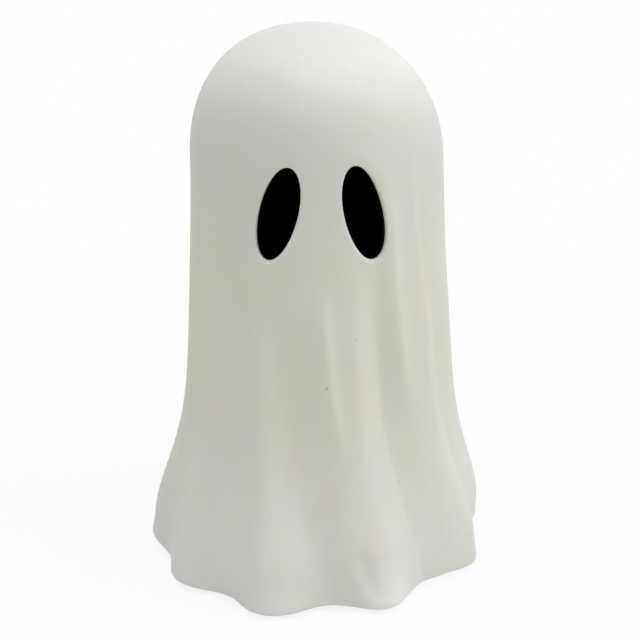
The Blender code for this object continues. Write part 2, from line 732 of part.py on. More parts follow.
def make_battery_door():
    """The lid, with its origin on the hinge's axis."""
    low = PLATE_BOTTOM - HINGE_Z
    high = DOOR_TOP - HINGE_Z
    near = DOOR_HALF_WIDTH - HINGE_Y
    far = -DOOR_HALF_WIDTH - HINGE_Y
    door = box("battery_door", (-DOOR_HALF_LENGTH, far, low), (DOOR_HALF_LENGTH, near, high), door_plastic)
    tab = box(
        "door_tab",
        (-TAB_WIDTH / 2, far - TAB_REACH, low),
        (TAB_WIDTH / 2, far + TAB_REACH, low + TAB_THICKNESS),
    )
    join(door, tab)
    for side, name in ((-1, "left"), (1, "right")):
        middle = side * KNUCKLE_OFFSET
        half = KNUCKLE_LENGTH / 2
        arm = box(f"door_arm_{name}", (middle - half, near - HINGE_RADIUS, low), (middle + half, 0, high))
        knuckle = turn_to_x(rod(f"door_knuckle_{name}", HINGE_RADIUS, middle - half, middle + half))
        pin_ends = sorted(middle + side * (half + reach) for reach in (-HINGE_PIN_LENGTH, HINGE_PIN_LENGTH))
        pin = turn_to_x(rod(f"door_pin_{name}", HINGE_PIN_RADIUS, *pin_ends))
        join(door, arm, knuckle, pin)
        for part in (arm, knuckle, pin):
            part.parent = door
    tab.parent = door
    return moved(door, 0, HINGE_Y, HINGE_Z)


# Battery cells lie side by side, each the other way round from the last, between a spring and a contact plate


def cell_rows():
    """Number, Y and the direction of the positive end of each cell."""
    for number in range(1, CELL_COUNT + 1):
        yield number, (number - (CELL_COUNT + 1) / 2) * CELL_PITCH, 1 if number % 2 else -1


def make_cells():
    shoulder = CELL_RADIUS - CELL_NUB_LENGTH / 2
    outline = (
        (0, 0),
        (CELL_RADIUS, 0),
        (CELL_RADIUS, CELL_BODY_LENGTH - CELL_NUB_LENGTH / 2),
        (shoulder, CELL_BODY_LENGTH),
        (CELL_NUB_RADIUS, CELL_BODY_LENGTH),
        (CELL_NUB_RADIUS, CELL_LENGTH),
        (0, CELL_LENGTH),
    )
    start = -BAY_HALF_LENGTH + GAP + SPRING_LENGTH + GAP
    for number, y, way in cell_rows():
        cell = turn_to_x(turned(f"battery_{number}", outline, SMALL_SIDES + 4, cell_jacket))
        if way < 0:
            cell.data.transform(Matrix.Rotation(math.pi, 4, "Z"))
        moved(cell, way * start, y, CELL_LEVEL)


def spring_points():
    """A cone of wire along +X with a straight end at each side, from 0 to its length."""
    wire = 2 * SPRING_WIRE_RADIUS
    run = SPRING_LENGTH - 2 * wire
    steps = SPRING_TURNS * SPRING_STEPS
    points = [Vector((0, SPRING_WIDE_RADIUS, 0))]
    for step in range(steps + 1):
        share = step / steps
        turn = 2 * math.pi * step / SPRING_STEPS
        radius = SPRING_WIDE_RADIUS + (SPRING_NARROW_RADIUS - SPRING_WIDE_RADIUS) * share
        points.append(Vector((wire + run * share, radius * math.cos(turn), radius * math.sin(turn))))
    points.append(points[-1] + Vector((wire, 0, 0)))
    return points


def make_springs():
    points = spring_points()
    turns_apart = range(len(points) - SPRING_STEPS)
    least = min((points[i] - points[i + SPRING_STEPS]).length for i in turns_apart) - 2 * SPRING_WIRE_RADIUS
    print(f"least gap between a spring's turns: {least * 1000:.2f} mm")
    for number, y, way in cell_rows():
        end = Vector((-way * (BAY_HALF_LENGTH - GAP), y, CELL_LEVEL))
        placed = [end + Vector((way * point.x, point.y, point.z)) for point in points]
        tube(f"battery_spring_{number}", placed, SPRING_WIRE_RADIUS, bright_steel, resolution=1)


def make_contact_plates():
    half = CONTACT_WIDTH / 2
    for number, y, way in cell_rows():
        outside = BAY_HALF_LENGTH - GAP
        ends = sorted((way * outside, way * (outside - CONTACT_THICKNESS)))
        plate_low = (ends[0], y - half, CELL_LEVEL - half)
        plate_high = (ends[1], y + half, CELL_LEVEL + half)
        box(f"contact_plate_{number}", plate_low, plate_high, bright_steel)


# Slide switch: a body on the plate and a knob that hangs through the slot into the recess


def make_switch():
    half_length = SWITCH_LENGTH / 2
    half_width = SWITCH_WIDTH / 2
    body = box(
        "switch_body",
        (-half_length, -SWITCH_OFFSET - half_width, SWITCH_BOTTOM),
        (half_length, -SWITCH_OFFSET + half_width, SWITCH_TOP),
        switch_black,
    )
    hollow_top = SWITCH_TOP - SWITCH_WALL
    cut(
        body,
        box(
            "switch_hollow",
            (-half_length + SWITCH_WALL, -SWITCH_OFFSET - half_width + SWITCH_WALL, SWITCH_BOTTOM - OVERRUN),
            (half_length - SWITCH_WALL, -SWITCH_OFFSET + half_width - SWITCH_WALL, hollow_top),
        ),
    )
    foot_half_length = half_length - SWITCH_WALL - GAP - SWITCH_TRAVEL / 2
    foot_half_width = half_width - SWITCH_WALL - GAP
    stem_half = STEM_LENGTH / 2
    knob_bottom = KNOB_TOP - KNOB_TALL
    foot_bottom = SWITCH_SEAT + GAP
    slider = box(
        "switch_slider",
        (-KNOB_LENGTH / 2, -KNOB_WIDTH / 2, knob_bottom),
        (KNOB_LENGTH / 2, KNOB_WIDTH / 2, KNOB_TOP),
        knob_black,
    )
    stem = box(
        "slider_stem",
        (-stem_half, -STEM_WIDTH / 2, KNOB_TOP - KNOB_TALL / 2),
        (stem_half, STEM_WIDTH / 2, foot_bottom + SWITCH_WALL / 2),
    )
    foot = box(
        "slider_foot",
        (-foot_half_length, -foot_half_width, foot_bottom),
        (foot_half_length, foot_half_width, foot_bottom + SWITCH_WALL),
    )
    grooves = []
    for side in (-1, 0, 1):
        middle = side * KNOB_LENGTH / 4
        width = KNOB_LENGTH / 12
        groove_low = (middle - width / 2, -KNOB_WIDTH, knob_bottom - OVERRUN)
        groove_high = (middle + width / 2, KNOB_WIDTH, knob_bottom + KNOB_TALL / 4)
        grooves.append(box(f"knob_groove_{side + 2}", groove_low, groove_high))
    join(slider, stem, foot)
    cut(slider, *grooves)
    for part in (stem, foot, *grooves):
        part.parent = slider
    moved(slider, KNOB_REST, -SWITCH_OFFSET)


# Lamp post: a hollow moulding over the base's collar, with a ledge for the diffuser and a seat for the board


def make_lamp_post():
    ledge_radius = POST_TOP_RADIUS + POST_LEDGE
    ceiling = POST_TOP - POST_TOP_THICKNESS
    outline = (
        (POST_INNER_RADIUS, POST_BOTTOM),
        (POST_FOOT_RADIUS, POST_BOTTOM),
        (POST_TOP_RADIUS, LEDGE_TOP - POST_LEDGE_THICKNESS - POST_LEDGE),
        (ledge_radius, LEDGE_TOP - POST_LEDGE_THICKNESS),
        (ledge_radius, LEDGE_TOP),
        (POST_TOP_RADIUS, LEDGE_TOP),
        (POST_TOP_RADIUS, POST_TOP),
        (POST_BORE_RADIUS, POST_TOP),
        (POST_BORE_RADIUS, ceiling),
        (POST_INNER_RADIUS, ceiling),
    )
    post = turned("lamp_post", outline, ROUND_SIDES * 2 // 3, post_plastic, closed=True)
    half = WIRE_SLOT_WIDTH / 2
    cut(
        post,
        box(
            "lead_slot",
            (-half, -POST_FOOT_RADIUS - OVERRUN, POST_BOTTOM - OVERRUN),
            (half, 0, POST_BOTTOM + COLLAR_HEIGHT + WIRE_SLOT_HEIGHT),
        ),
    )
    for side in (-1, 1):
        hole = rod(f"post_screw_hole_{side + 2}", SCREW_RADIUS + GAP, ceiling - OVERRUN, POST_TOP + OVERRUN)
        cut(post, moved(hole, 0, side * BOARD_SCREW_OFFSET))


def make_board():
    board = rod("led_board", BOARD_RADIUS, BOARD_BOTTOM, BOARD_TOP, ROUND_SIDES * 2 // 3, board_white)
    hole_ends = (BOARD_BOTTOM - OVERRUN, BOARD_TOP + OVERRUN)
    for side in (-1, 1):
        hole = rod(f"board_screw_hole_{side + 2}", SCREW_RADIUS + GAP, *hole_ends)
        cut(board, moved(hole, 0, side * BOARD_SCREW_OFFSET))


def make_lights():
    base = BOARD_TOP + GAP
    flange = LIGHT_RADIUS + GAP
    flange_top = base + LIGHT_RADIUS / 2
    outline = [(0, base), (flange, base), (flange, flange_top), (LIGHT_RADIUS, flange_top)]
    rows = 4
    for row in range(rows + 1):
        turn = math.pi / 2 * row / rows
        radius = LIGHT_RADIUS * math.cos(turn) if row < rows else 0
        outline.append((radius, base + LIGHT_BODY_HEIGHT + LIGHT_RADIUS * math.sin(turn)))
    for number, azimuth in enumerate(LIGHT_AZIMUTHS, 1):
        place = around(azimuth, LIGHT_CIRCLE, 0)
        moved(turned(f"led_{number}", outline, SMALL_SIDES, light_clear), place.x, place.y)


def make_diffuser():
    """A frosted cap: a straight skirt on the post's ledge under a round top."""
    side_top = DIFFUSER_BOTTOM + DIFFUSER_SIDE
    rows = 6
    outer = [(DIFFUSER_RADIUS, DIFFUSER_BOTTOM)]
    inner = [(DIFFUSER_INNER_RADIUS, DIFFUSER_BOTTOM)]
    for row in range(rows + 1):
        turn = math.pi / 2 * row / rows
        for outline, radius in ((outer, DIFFUSER_RADIUS), (inner, DIFFUSER_INNER_RADIUS)):
            across = radius * math.cos(turn) if row < rows else 0
            outline.append((across, side_top + radius * math.sin(turn)))
    turned("diffuser", [*reversed(inner), *outer], ROUND_SIDES * 2 // 3, diffuser_frost)


# Screws with a cross recess


def make_screw(name, length, seat, place, upward):
    """A screw whose head rests at a seat; upward screws point along +Z."""
    outline = (
        (0, -SCREW_HEAD_HEIGHT),
        (SCREW_HEAD_RADIUS - SCREW_HEAD_HEIGHT / 2, -SCREW_HEAD_HEIGHT),
        (SCREW_HEAD_RADIUS, -SCREW_HEAD_HEIGHT / 2),
        (SCREW_HEAD_RADIUS, 0),
        (SCREW_RADIUS, 0),
        (SCREW_RADIUS, length - SCREW_RADIUS / 2),
        (SCREW_RADIUS / 2, length),
        (0, length),
    )
    screw = turned(name, outline, SMALL_SIDES, screw_steel)
    arm = SCREW_HEAD_RADIUS / 2
    half = RECESS_WIDTH / 2
    floor = -SCREW_HEAD_HEIGHT / 2
    top = -SCREW_HEAD_HEIGHT - OVERRUN
    across = box(f"{name}_slot_across", (-arm, -half, top), (arm, half, floor))
    along = box(f"{name}_slot_along", (-half, -arm, top), (half, arm, floor))
    join(across, along)
    cut(screw, across)
    for piece in (along, across):
        piece.parent = screw
    screw.location = (place.x, place.y, seat)
    if not upward:
        screw.rotation_euler.x = math.pi


def make_screws():
    for number, azimuth in enumerate(BASE_SCREW_AZIMUTHS, 1):
        place = around(azimuth, BASE_SCREW_CIRCLE, 0)
        seat = PLATE_BOTTOM + SCREW_HEAD_HEIGHT
        make_screw(f"base_screw_{number}", BASE_SCREW_LENGTH, seat, place, upward=True)
    for number, side in enumerate((-1, 1), 1):
        place = Vector((0, side * BOARD_SCREW_OFFSET, 0))
        make_screw(f"board_screw_{number}", BOARD_SCREW_LENGTH, BOARD_TOP + GAP, place, upward=False)


# Leads: battery to switch, switch to board and battery to board


def make_leads():
    step = 5 * LEAD_RADIUS
    bay_end = BAY_HALF_LENGTH - GAP + LEAD_RADIUS
    switch_side = SWITCH_LENGTH / 2 + GAP
    switch_level = (SWITCH_BOTTOM + SWITCH_TOP) / 2
    row = CELL_PITCH
    board = BOARD_BOTTOM - GAP
    battery_to_switch = (
        (bay_end, -row, CELL_LEVEL),
        (0.0300, -row, CELL_LEVEL),
        (0.0350, -0.0170, 0.0102),
        (0.0320, -0.0290, 0.0108),
        (0.0200, -0.0368, 0.0102),
        (switch_side, -SWITCH_OFFSET, switch_level),
    )
    switch_to_board = (
        (-switch_side, -SWITCH_OFFSET, switch_level),
        (-0.0130, -0.0375, 0.0108),
        (-0.0160, -0.0320, 0.0165),
        (-0.0105, -0.0250, 0.0215),
        (-0.0030, -0.0180, 0.0235),
        (-0.0025, -0.0095, 0.0252),
        (-0.0025, -0.0030, 0.0310),
        (-0.0035, 0.0, 0.0420),
        (-0.0040, 0.0, board),
    )
    battery_to_board = (
        (-bay_end, row, CELL_LEVEL),
        (-0.0300, row, CELL_LEVEL),
        (-0.0350, 0.0060, 0.0125),
        (-0.0320, -0.0060, 0.0195),
        (-0.0230, -0.0160, 0.0225),
        (-0.0100, -0.0200, 0.0255),
        (0.0015, -0.0165, 0.0262),
        (0.0025, -0.0090, 0.0270),
        (0.0028, -0.0030, 0.0320),
        (0.0035, 0.0, 0.0420),
        (0.0040, 0.0, board),
    )
    tube("lead_battery_switch", flowing(battery_to_switch, step), LEAD_RADIUS, lead_red)
    tube("lead_switch_board", flowing(switch_to_board, step), LEAD_RADIUS, lead_red)
    tube("lead_battery_board", flowing(battery_to_board, step), LEAD_RADIUS, lead_black)


make_ghost_shell()
make_foot_pads()
make_lamp_base()
make_battery_door()
make_cells()
make_springs()
make_contact_plates()
make_switch()
make_lamp_post()
make_board()
make_lights()
make_diffuser()
make_screws()
make_leads()
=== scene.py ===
import math

import bpy
import numpy as np
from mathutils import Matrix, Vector


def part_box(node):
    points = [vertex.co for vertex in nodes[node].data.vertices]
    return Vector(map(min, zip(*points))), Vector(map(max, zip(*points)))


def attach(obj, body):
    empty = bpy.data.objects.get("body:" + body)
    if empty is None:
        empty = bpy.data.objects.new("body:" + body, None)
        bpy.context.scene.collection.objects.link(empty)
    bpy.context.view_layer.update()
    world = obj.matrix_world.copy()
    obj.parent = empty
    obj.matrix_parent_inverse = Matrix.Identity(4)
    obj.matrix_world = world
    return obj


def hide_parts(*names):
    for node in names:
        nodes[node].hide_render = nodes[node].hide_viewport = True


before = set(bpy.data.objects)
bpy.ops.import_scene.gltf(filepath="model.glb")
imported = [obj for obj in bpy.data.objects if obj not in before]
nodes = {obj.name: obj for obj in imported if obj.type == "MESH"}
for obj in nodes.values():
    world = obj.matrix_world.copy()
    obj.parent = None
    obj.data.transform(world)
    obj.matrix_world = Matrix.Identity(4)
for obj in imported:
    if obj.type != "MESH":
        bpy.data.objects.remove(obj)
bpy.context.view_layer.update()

# The sheet
# One hollow casting, poured in a mould and left matt white: a head and shoulders under a draped cloth,
# with long folds that widen towards a scalloped hem. Its 4 mm wall shows at the two pierced eyes.

# The head is a dome, fuller at the front and at the left, and leans a little. The body spreads to the hem
# by a slow drape and a quicker flare, and the hem kicks outwards. Lengths are in metres.
shell_low, shell_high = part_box("ghost_shell")
TALL = shell_high.z
HEM = shell_low.z
WALL = 0.0040
HEAD_RADIUS = 0.0640
SHOULDER = 0.2120
HEM_RADIUS = 0.0884
FLARE_TOP = 0.1250
FLARE_FOOT = 0.0150
HEAD_LEAN = 0.0018
HEM_SHIFT = 0.0006
LEAN_START = 0.1200
FOLD_DEPTH = 0.0085
FOLD_MIDDLE = 0.0800
FOLD_BEND_TOP = 0.1500
LIP_RADIUS = 0.0016
DOME_POWER = 2.08
FRONT_FULLNESS = 0.5
LEFT_FULLNESS = 0.2
DRAPE_SHARE = 0.33
SHOULDER_EASE = 0.05
FLARE_BEND = 1.75
FOLD_FLARE = 1.7
LEAN_BEND = 1.3
KICK = 0.0022
KICK_HEIGHT = 0.0090

# Each line runs down a fold: azimuth in degrees at the hem, half way up and at the top, counted from the
# front towards +X; its push at the hem and half way up as shares of FOLD_DEPTH; how far up it reaches as a
# share of TALL; and how sharp it is on its left and on its right, from 0 for round to 1 for a crease.
FOLD_LINE_SHARES = (
    (-90, -80, -76, 0.22, 0.26, 0.80, 0, 0),
    (-69, -63, -58, -0.33, -0.22, 0.80, 0.05, 0.05),
    (-52, -46, -47, 0.42, 0.18, 0.78, 0, 0),
    (-33, -36, -38, -0.26, -0.02, 0.66, 0, 0),
    (-16.5, -24, -28, 0.72, 0.28, 0.64, 0, 0),
    (5, -9, -17, -0.68, -0.30, 0.62, 0, 0),
    (22, 16.5, 14, 0.25, 0.30, 0.64, 0, 0),
    (43.5, 31.5, 25.5, -1.05, -0.64, 0.70, 0.1, 0.3),
    (66, 54, 47, 0.10, 0.52, 0.72, 0.2, 0.15),
    (88, 69, 60, -0.95, -0.30, 0.66, 0.4, 0.4),
    (106, 90, 80, 0.14, 0.30, 0.66, 0, 0),
    (127, 118, 112, -0.65, -0.22, 0.64, 0.4, 0.4),
    (147, 142, 138, 0.35, 0.14, 0.64, 0, 0),
    (167, 163, 160, -0.71, -0.18, 0.64, 0.5, 0.5),
    (186, 184, 184, 0.59, 0.16, 0.64, 0, 0),
    (206, 205, 206, -0.65, -0.16, 0.66, 0.5, 0.5),
    (226, 228, 230, 0.35, 0.12, 0.66, 0, 0),
    (247, 254, 256, -0.53, -0.14, 0.70, 0.5, 0.5),
)

# Short pleats that fade at both ends: depth, half width to the left and to the right, then heights along
# the pleat and the azimuths in degrees there. A negative depth is a groove.
PLEATS = {
    "front": (
        0.0022,
        0.0110,
        0.0035,
        (0.171, 0.152, 0.135, 0.117, 0.097, 0.072),
        (0.8, 1.6, 2.7, 4.1, 6.1, 9.2),
    ),
    "right_eye": (
        0.0025,
        0.0075,
        0.0050,
        (0.226, 0.19, 0.16, 0.13, 0.104, 0.084),
        (32, 32.5, 33.8, 36.2, 39.3, 42),
    ),
    "right_side": (
        0.0011,
        0.0070,
        0.0035,
        (0.244, 0.211, 0.18, 0.15, 0.12, 0.09, 0.07),
        (43, 44.5, 46.5, 50, 54, 60, 64),
    ),
    "left_cheek": (
        0.0006,
        0.0100,
        0.0050,
        (0.172, 0.14, 0.11, 0.08, 0.05, 0.02),
        (-25.5, -26, -24.5, -22, -19.5, -17),
    ),
    "left_side": (
        0.0007,
        0.0060,
        0.0040,
        (0.17, 0.14, 0.117, 0.096, 0.066),
        (-39, -41, -42.5, -43.5, -44.5),
    ),
    "left_hem": (
        0.0004,
        0.0030,
        0.0040,
        (0.052, 0.032, 0.014, -0.006),
        (-34.5, -34, -33.5, -33),
    ),
    "curl": (
        0.0006,
        0.0034,
        0.0024,
        (0.03, 0.023, 0.016, 0.01, 0.006, 0.005, 0.006, 0.01),
        (9.6, 10.4, 12, 14.6, 18.5, 23, 28, 33),
    ),
    "curl_groove": (
        -0.0011,
        0.0032,
        0.0034,
        (0.036, 0.028, 0.021, 0.0155, 0.011, 0.0075),
        (13.4, 14.4, 15.6, 17, 18.8, 21),
    ),
    "right_hollow": (
        -0.0007,
        0.0060,
        0.0060,
        (0.046, 0.03, 0.016, 0, -0.012),
        (42.5, 46.5, 51, 55.5, 59),
    ),
}


def smooth(share):
    share = np.clip(share, 0, 1)
    return share * share * (3 - 2 * share)


def plain_radius(height, azimuth):
    turn = np.radians(azimuth)
    power = DOME_POWER + FRONT_FULLNESS * np.maximum(np.cos(turn), 0) ** 2
    power = power + LEFT_FULLNESS * np.maximum(-np.sin(turn), 0) ** 2
    rise = np.clip((height - SHOULDER) / (TALL - SHOULDER), 0, 1)
    dome = HEAD_RADIUS * (1 - rise**power) ** (1 / power)
    drape = np.clip(1 - height / SHOULDER, 0, 1)
    drape = drape * drape / (drape + SHOULDER_EASE) * (1 + SHOULDER_EASE)
    fall = np.clip((FLARE_TOP - height) / (FLARE_TOP - FLARE_FOOT), 0, 1)
    spread = DRAPE_SHARE * drape + (1 - DRAPE_SHARE) * smooth(fall**FLARE_BEND)
    return np.where(height > SHOULDER, dome, HEAD_RADIUS + (HEM_RADIUS - HEAD_RADIUS) * spread)


def axis_shift(height):
    rise = np.clip((height - LEAN_START) / (TALL - LEAN_START), 0, 1)
    return HEM_SHIFT - (HEAD_LEAN + HEM_SHIFT) * rise**LEAN_BEND


def line_azimuth(line, height):
    hem, middle, top = line[:3]
    height = np.minimum(height, FOLD_BEND_TOP)
    low = hem * (height - FOLD_MIDDLE) * (height - FOLD_BEND_TOP) / (FOLD_MIDDLE * FOLD_BEND_TOP)
    mid = middle * height * (height - FOLD_BEND_TOP) / (FOLD_MIDDLE * (FOLD_MIDDLE - FOLD_BEND_TOP))
    high = top * height * (height - FOLD_MIDDLE) / (FOLD_BEND_TOP * (FOLD_BEND_TOP - FOLD_MIDDLE))
    return low + mid + high


def line_push(line, height):
    hem, middle, reach = line[3:6]
    above = middle * smooth((reach * TALL - height) / (reach * TALL - FOLD_MIDDLE))
    below = middle + (hem - middle) * np.clip(1 - height / FOLD_MIDDLE, 0, 1) ** FOLD_FLARE
    return FOLD_DEPTH * np.where(height > FOLD_MIDDLE, above, below)


def fold_push(azimuth, height):
    push = np.zeros(np.shape(azimuth))
    for line, following in zip(FOLD_LINE_SHARES, FOLD_LINE_SHARES[1:] + FOLD_LINE_SHARES[:1]):
        start = line_azimuth(line, height)
        span = (line_azimuth(following, height) - start) % 360
        along = ((azimuth - start) % 360) / span
        run = np.clip(along, 0, 1)
        leaving, arriving = line[7], following[6]
        share = leaving * np.sin(math.pi / 2 * run) + arriving * (1 - np.cos(math.pi / 2 * run))
        share += (1 - leaving - arriving) * smooth(run)
        here = line_push(line, height)
        push = np.where(along <= 1, here + (line_push(following, height) - here) * share, push)
    kick = np.exp(-(((height - HEM) / KICK_HEIGHT) ** 2)) * smooth(0.5 + push / FOLD_DEPTH)
    return push + KICK * kick


def pleat_path(heights, azimuths, steps=6):
    """A smooth path through a pleat's points."""
    stations = np.array([heights, azimuths], float).T
    ends = np.vstack([2 * stations[0] - stations[1], stations, 2 * stations[-1] - stations[-2]])
    path = [stations[0]]
    for before, start, end, after in zip(ends, ends[1:], ends[2:], ends[3:]):
        for step in range(1, steps + 1):
            t = step / steps
            curve = (end - before) * t
            curve = curve + (2 * before - 5 * start + 4 * end - after) * t**2
            curve = curve + (3 * start - before - 3 * end + after) * t**3
            path.append(start + curve / 2)
    return np.array(path)


PLEAT_PATHS = [pleat_path(heights, azimuths) for *_, heights, azimuths in PLEATS.values()]
FADE_SHARE = 0.3
PLEAT_SHARPNESS = 1.8
PLEAT_REACH = 3


def pleat_push(azimuth, height):
    azimuth, height = np.broadcast_arrays(azimuth, height)
    push = np.zeros(azimuth.shape)
    azimuth = (azimuth + 180) % 360 - 180
    for (depth, left, right, *_), path in zip(PLEATS.values(), PLEAT_PATHS):
        scale = math.radians(1) * plain_radius(path[:, 0].clip(0, TALL), 0).mean()
        path_x, path_z = path[:, 1] * scale, path[:, 0]
        margin = PLEAT_REACH * max(left, right)
        near = (azimuth * scale > path_x.min() - margin) & (azimuth * scale < path_x.max() + margin)
        near &= (height > path_z.min() - margin) & (height < path_z.max() + margin)
        x, z = azimuth[near] * scale, height[near]
        length = np.hypot(np.diff(path_x), np.diff(path_z))
        reached = np.concatenate([[0], np.cumsum(length)])
        nearest, side, travelled = np.full(x.shape, np.inf), np.zeros(x.shape), np.zeros(x.shape)
        for index, piece in enumerate(length):
            along_x = (path_x[index + 1] - path_x[index]) / piece
            along_z = (path_z[index + 1] - path_z[index]) / piece
            from_x, from_z = x - path_x[index], z - path_z[index]
            run = np.clip(from_x * along_x + from_z * along_z, 0, piece)
            distance = np.hypot(from_x - run * along_x, from_z - run * along_z)
            closer = distance < nearest
            nearest = np.where(closer, distance, nearest)
            side = np.where(closer, along_x * from_z - along_z * from_x, side)
            travelled = np.where(closer, (reached[index] + run) / reached[-1], travelled)
        width = np.where(side > 0, right, left)
        fade = smooth(np.minimum(travelled, 1 - travelled) / FADE_SHARE)
        push[near] += depth * fade * np.exp(-((nearest / width) ** PLEAT_SHARPNESS))
    return push


def face_point(azimuth, height, radius):
    """Points of the sheet at an azimuth, a height and a distance from its leaning axis."""
    turn = np.radians(azimuth)
    x = axis_shift(height) + radius * np.sin(turn)
    return np.stack([x, -radius * np.cos(turn), height + 0 * turn], -1)


def sheet_radius(azimuth, height):
    return plain_radius(height, azimuth) + fold_push(azimuth, height) + pleat_push(azimuth, height)


def outer_face(azimuth, height):
    return face_point(azimuth, height, sheet_radius(azimuth, height))


FLOOR_TOP = HEM + 0.0080


def inner_face(azimuth, height):
    """The inner face of the wall beside a point of the outer face; it follows the long folds only."""
    body = FLOOR_TOP + (height - HEM) * (SHOULDER - FLOOR_TOP) / (SHOULDER - HEM)
    dome = SHOULDER + (height - SHOULDER) * (TALL - WALL - SHOULDER) / (TALL - SHOULDER)
    plain = plain_radius(height, azimuth)
    head = plain * ((HEAD_RADIUS - WALL) / HEAD_RADIUS)
    radius = np.where(height > SHOULDER, head, plain - WALL) + fold_push(azimuth, height)
    return face_point(azimuth, np.where(height > SHOULDER, dome, body), radius)


# Mesh columns run down along the folds, and the inner face has one cell for each FINE cells of the outer.
FINE = 3
COLUMNS_PER_FOLD = 8 * FINE
WALL_ROWS = 46 * FINE
DOME_ROWS = 20 * FINE

lip_top = HEM + LIP_RADIUS
wall_heights = lip_top + (SHOULDER - lip_top) * np.arange(WALL_ROWS) / WALL_ROWS
dome_rise = np.sin(math.pi / 2 * np.arange(DOME_ROWS) / DOME_ROWS) ** (2 / DOME_POWER)
heights = np.concatenate([wall_heights, SHOULDER + (TALL - SHOULDER) * dome_rise])


def column_azimuths(height):
    columns = []
    for line, following in zip(FOLD_LINE_SHARES, FOLD_LINE_SHARES[1:] + FOLD_LINE_SHARES[:1]):
        start = line_azimuth(line, height)
        span = (line_azimuth(following, height) - start) % 360
        columns += [start + span * step / COLUMNS_PER_FOLD for step in range(COLUMNS_PER_FOLD)]
    return np.array(columns)


azimuths = np.array([column_azimuths(height) for height in heights])
COLUMNS = azimuths.shape[1]

# The eyes: azimuth and the lean of the top towards +X, in degrees, and height. Each is an oval hole square
# to the wall, and its wall is bare just behind the rounded rim and black from there on. The black is a
# coat that
# is also painted shade: it makes the hollow behind the eyes read dark.
EYE_WIDTH = 0.0193
EYE_TALL = 0.0472
EYES = {"left": (-17.2, 14.7, 0.1997), "right": (20.4, -12.9, 0.2001)}
EYE_MARGIN = 0.0040
RIM_RADIUS = 0.0012
RIM_RINGS = 6
BARE_DEPTH = 0.0021
SPREAD_RINGS = 6
FIT_STEPS = 12

# Coats: white outside; black inside and on the eye walls behind the bare strip, painted shade for the
# hollow.
WHITE, BLACK_SHADE = 0, 1
shell_verts = []
shell_faces = []
face_coats = []


def add_points(points):
    """Adds points to the shell and returns their numbers."""
    first = len(shell_verts)
    shell_verts.extend(np.asarray(points).reshape(-1, 3).tolist())
    return list(range(first, len(shell_verts)))


def zip_rings(ring, other, coat=WHITE):
    """Faces between two closed rings of points that run the same way; one may have more points."""
    long_ring, short_ring = (ring, other) if len(ring) >= len(other) else (other, ring)
    steps, short_steps = len(long_ring), len(short_ring)
    for step in range(steps):
        here, following = long_ring[step], long_ring[(step + 1) % steps]
        near = short_ring[step * short_steps // steps]
        far = short_ring[(step + 1) * short_steps // steps % short_steps]
        face = (here, following, near) if near == far else (here, following, far, near)
        shell_faces.append(face if long_ring is ring else face[::-1])
        face_coats.append(coat)


def eye_block(azimuth, lean, middle):
    """Rows and columns of the cells that an eye and its rim take up."""
    turn = math.radians(lean)
    half_wide = math.hypot(EYE_WIDTH / 2 * math.cos(turn), EYE_TALL / 2 * math.sin(turn)) + EYE_MARGIN
    half_tall = math.hypot(EYE_WIDTH / 2 * math.sin(turn), EYE_TALL / 2 * math.cos(turn)) + EYE_MARGIN
    half_azimuth = math.degrees(math.asin(half_wide / HEAD_RADIUS))
    across = azimuths[np.searchsorted(heights, middle)]
    left = FINE * (int(np.searchsorted(across, azimuth - half_azimuth)) // FINE)
    right = FINE * (-(-int(np.searchsorted(across, azimuth + half_azimuth)) // FINE))
    low = FINE * (int(np.searchsorted(heights, middle - half_tall)) // FINE)
    high = FINE * (-(-int(np.searchsorted(heights, middle + half_tall)) // FINE))
    return left, right, low, high


eye_blocks = {side: eye_block(*place) for side, place in EYES.items()}


def oval_on(face, azimuth, lean, middle, angles, grow):
    """Azimuths and heights where an oval, grown by a margin, meets a face of the wall."""
    centre = outer_face(np.array(azimuth), np.array(middle))
    turn = math.radians(lean)
    beside = np.array([math.cos(math.radians(azimuth)), math.sin(math.radians(azimuth)), 0])
    across, along = EYE_WIDTH / 2 + grow, EYE_TALL / 2 + grow
    right = across * np.cos(angles) * math.cos(turn) + along * np.sin(angles) * math.sin(turn)
    up = along * np.sin(angles) * math.cos(turn) - across * np.cos(angles) * math.sin(turn)
    place_azimuth = azimuth + np.degrees(right / HEAD_RADIUS)
    place_height = middle + up
    for _ in range(FIT_STEPS):
        point = face(place_azimuth, place_height) - centre
        place_azimuth = place_azimuth + np.degrees((right - point @ beside) / HEAD_RADIUS)
        place_height = place_height + up - point[:, 2]
    return place_azimuth, place_height


